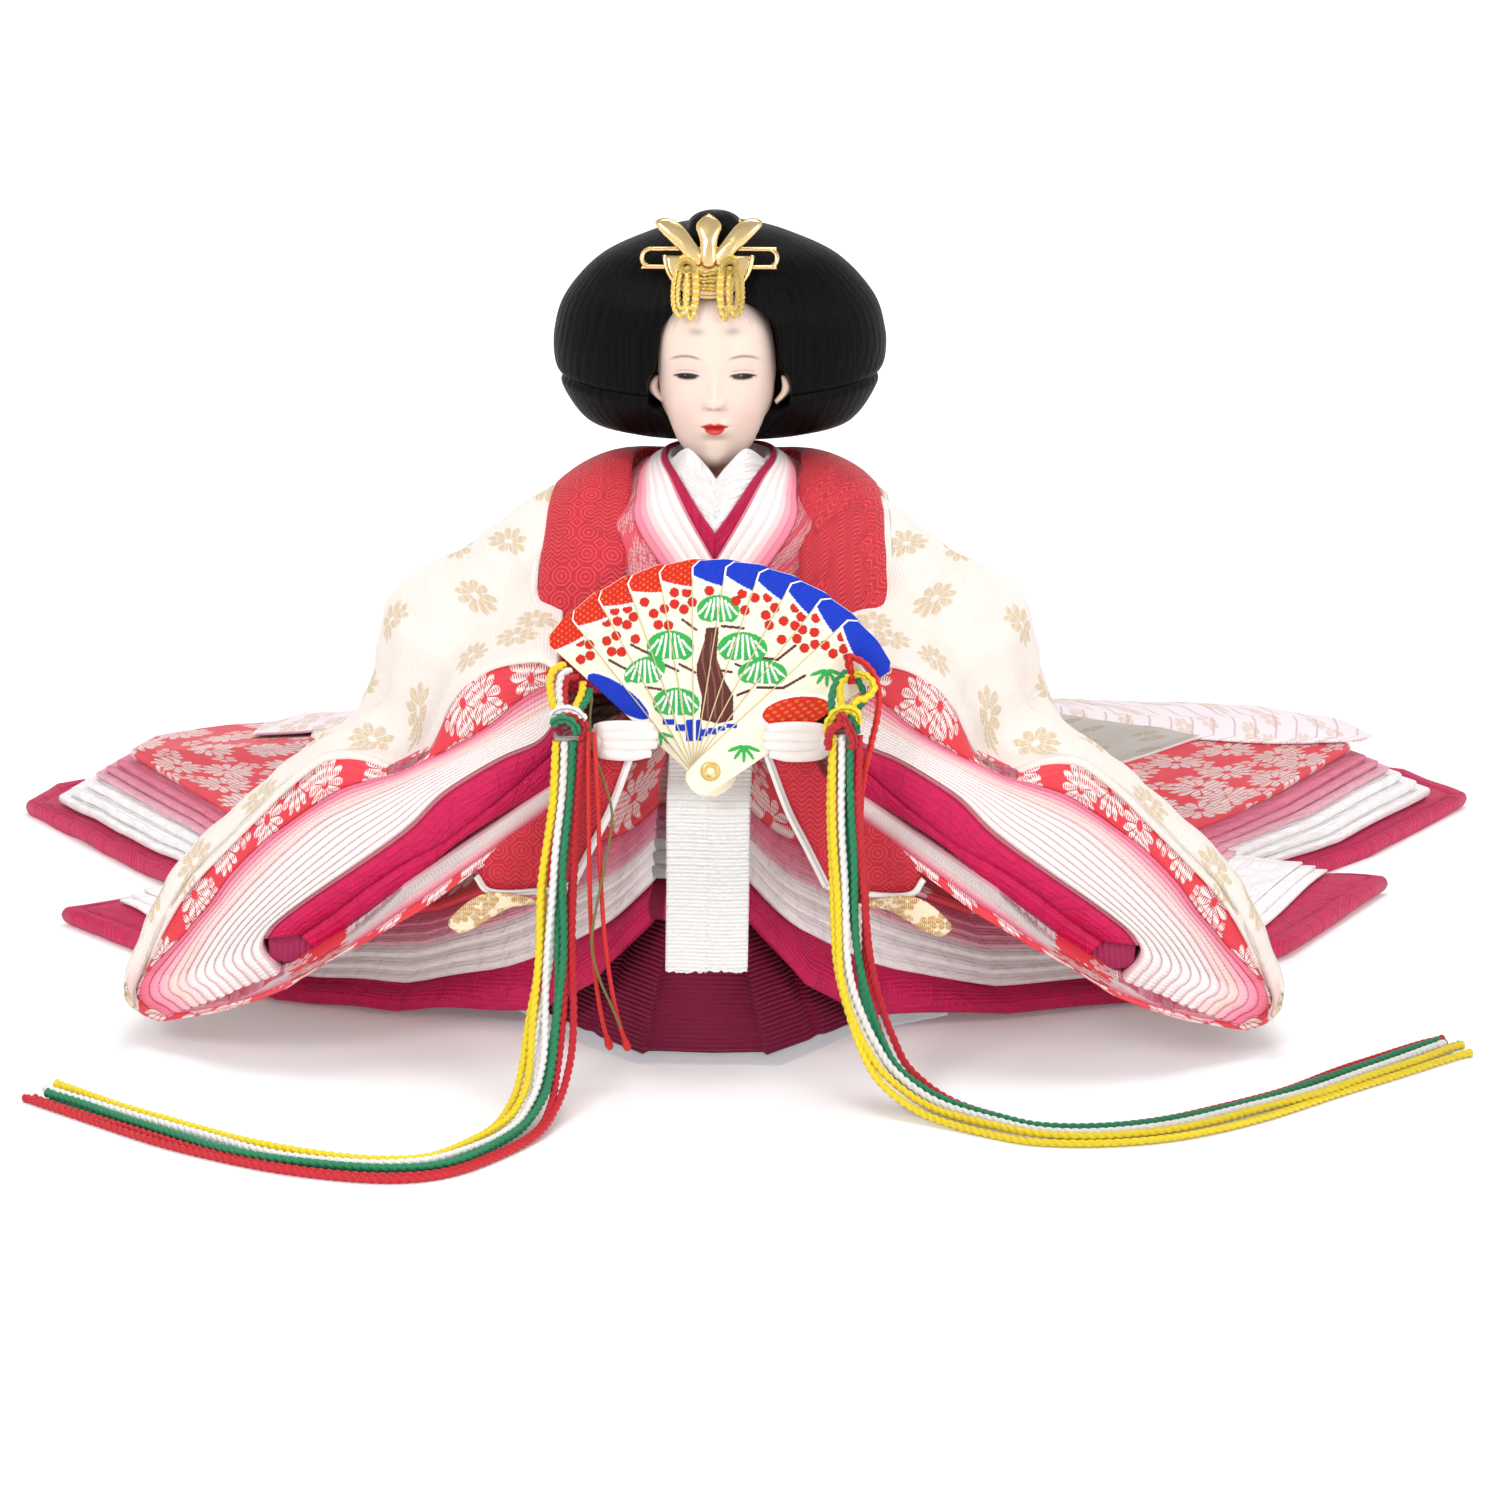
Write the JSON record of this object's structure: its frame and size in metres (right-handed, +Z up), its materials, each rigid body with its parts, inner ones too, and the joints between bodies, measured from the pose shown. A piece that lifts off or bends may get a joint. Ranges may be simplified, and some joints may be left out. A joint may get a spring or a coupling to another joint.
{
  "type": "hina doll",
  "caption": "Seated court lady doll in layered silk robes with spread train and sleeves, gilt crown, rolled black hair, and an open slatted fan with hanging cords.",
  "frame": {"origin": "on the underside of the clear sheet that the doll stands on, under the neck axis", "axes": "+Z up along the neck, the doll faces -Y, +X towards the doll's left hand"},
  "size_m": [0.4263, 0.3706, 0.2018],
  "materials": {
    "clear_film": "clear film",
    "board": "plain",
    "padding": "padded cotton",
    "straw": "bound straw",
    "stick": "plain",
    "wire": "drawn",
    "face": "satin white",
    "hair": "glossy silk fibre",
    "gilt": "gilt",
    "gold_cord": "twisted metallic cord",
    "hands": "satin white",
    "slats": "painted cream",
    "rivet": "gilt",
    "crimson_silk": "ribbed",
    "white_silk": "ribbed",
    "magenta_silk": "ribbed",
    "pink_silk": "ribbed",
    "coral_brocade": "figured brocade",
    "cream_brocade": "gold figured brocade",
    "gauze": "sheer gauze",
    "yellow_cord": "twisted silk",
    "white_cord": "twisted silk",
    "green_cord": "twisted silk",
    "red_cord": "twisted silk"
  },
  "bodies": {
    "doll": {"clear_sheet": "clear_film", "base_board": "board", "lap_form": "padding", "straw_torso": "straw", "arm_wire": "wire", "hand_left": "hands", "hand_right": "hands", "hakama": "crimson_silk", "waist_ribbon": "white_silk", "collar_white": "white_silk", "collar_magenta": "magenta_silk", "collar_stack": "pink_silk", "karaginu": "coral_brocade", "coat_back": "cream_brocade", "mo_train": "gauze", "skirt_magenta": "magenta_silk", "skirt_white": "white_silk", "skirt_pink": "pink_silk", "skirt_coral": "coral_brocade", "sleeve_coat_left": "cream_brocade", "sleeve_coat_right": "cream_brocade", "sleeve_coral_left": "coral_brocade", "sleeve_coral_right": "coral_brocade", "sleeve_pink_left": "pink_silk", "sleeve_pink_right": "pink_silk", "sleeve_white_left": "white_silk", "sleeve_white_right": "white_silk", "sleeve_magenta_left": "magenta_silk", "sleeve_magenta_right": "magenta_silk"},
    "neck": {"neck_stick": "stick"},
    "head": {"head": "face", "hair_dome": "hair", "hair_under": "hair", "hair_tail": "hair", "crown_plate": "gilt", "hairpin": "gilt", "crown_cord": "gold_cord"},
    "fan": {"fan_slat_01": "slats", "fan_eyelet": "rivet", "cord_left_yellow": "yellow_cord", "cord_left_white": "white_cord", "cord_left_green": "green_cord", "cord_left_red": "red_cord", "knot_left": "green_cord", "red_thread": "red_cord", "cord_right_yellow": "yellow_cord", "cord_right_white": "white_cord", "cord_right_green": "green_cord", "cord_right_red": "red_cord", "knot_right": "green_cord"},
    "slat_02": {"fan_slat_02": "slats"},
    "slat_03": {"fan_slat_03": "slats"},
    "slat_04": {"fan_slat_04": "slats"},
    "slat_05": {"fan_slat_05": "slats"},
    "slat_06": {"fan_slat_06": "slats"},
    "slat_07": {"fan_slat_07": "slats"},
    "slat_08": {"fan_slat_08": "slats"},
    "slat_09": {"fan_slat_09": "slats"},
    "slat_10": {"fan_slat_10": "slats"},
    "front_guard": {"fan_slat_11": "slats"}
  },
  "joints": [
    {"name": "head_lift", "type": "slide", "parent": "doll", "child": "neck", "axis": [0, 0, 1], "range_m": [0, 0.05]},
    {"name": "head_turn", "type": "hinge", "parent": "neck", "child": "head", "pos_m": [0, 0, 0.12], "axis": [0, 0, 1], "range_deg": [-15, 15]},
    {"name": "fan_lift", "type": "slide", "parent": "doll", "child": "fan", "axis": [0, 0.165, 0.9863], "range_m": [0, 0.06]},
    {"name": "fan_fold", "type": "hinge", "parent": "fan", "child": "front_guard", "pos_m": [0.0028, -0.088, 0.0755], "axis": [0, -0.9863, 0.165], "range_deg": [0, 94.5]},
    {"name": "slat_02_turn", "type": "hinge", "parent": "fan", "child": "slat_02", "pos_m": [0.0028, -0.088, 0.0755], "axis": [0, -0.9863, 0.165], "range_deg": [0, 9.45]},
    {"name": "slat_03_turn", "type": "hinge", "parent": "fan", "child": "slat_03", "pos_m": [0.0028, -0.088, 0.0755], "axis": [0, -0.9863, 0.165], "range_deg": [0, 18.9]},
    {"name": "slat_04_turn", "type": "hinge", "parent": "fan", "child": "slat_04", "pos_m": [0.0028, -0.088, 0.0755], "axis": [0, -0.9863, 0.165], "range_deg": [0, 28.35]},
    {"name": "slat_05_turn", "type": "hinge", "parent": "fan", "child": "slat_05", "pos_m": [0.0028, -0.088, 0.0755], "axis": [0, -0.9863, 0.165], "range_deg": [0, 37.8]},
    {"name": "slat_06_turn", "type": "hinge", "parent": "fan", "child": "slat_06", "pos_m": [0.0028, -0.088, 0.0755], "axis": [0, -0.9863, 0.165], "range_deg": [0, 47.25]},
    {"name": "slat_07_turn", "type": "hinge", "parent": "fan", "child": "slat_07", "pos_m": [0.0028, -0.088, 0.0755], "axis": [0, -0.9863, 0.165], "range_deg": [0, 56.7]},
    {"name": "slat_08_turn", "type": "hinge", "parent": "fan", "child": "slat_08", "pos_m": [0.0028, -0.088, 0.0755], "axis": [0, -0.9863, 0.165], "range_deg": [0, 66.15]},
    {"name": "slat_09_turn", "type": "hinge", "parent": "fan", "child": "slat_09", "pos_m": [0.0028, -0.088, 0.0755], "axis": [0, -0.9863, 0.165], "range_deg": [0, 75.6]},
    {"name": "slat_10_turn", "type": "hinge", "parent": "fan", "child": "slat_10", "pos_m": [0.0028, -0.088, 0.0755], "axis": [0, -0.9863, 0.165], "range_deg": [0, 85.05]}
  ],
  "couplings": [
    {"joint": "slat_02_turn", "follows": "fan_fold", "ratio": 0.1},
    {"joint": "slat_03_turn", "follows": "fan_fold", "ratio": 0.2},
    {"joint": "slat_04_turn", "follows": "fan_fold", "ratio": 0.3},
    {"joint": "slat_05_turn", "follows": "fan_fold", "ratio": 0.4},
    {"joint": "slat_06_turn", "follows": "fan_fold", "ratio": 0.5},
    {"joint": "slat_07_turn", "follows": "fan_fold", "ratio": 0.6},
    {"joint": "slat_08_turn", "follows": "fan_fold", "ratio": 0.7},
    {"joint": "slat_09_turn", "follows": "fan_fold", "ratio": 0.8},
    {"joint": "slat_10_turn", "follows": "fan_fold", "ratio": 0.9}
  ]
}
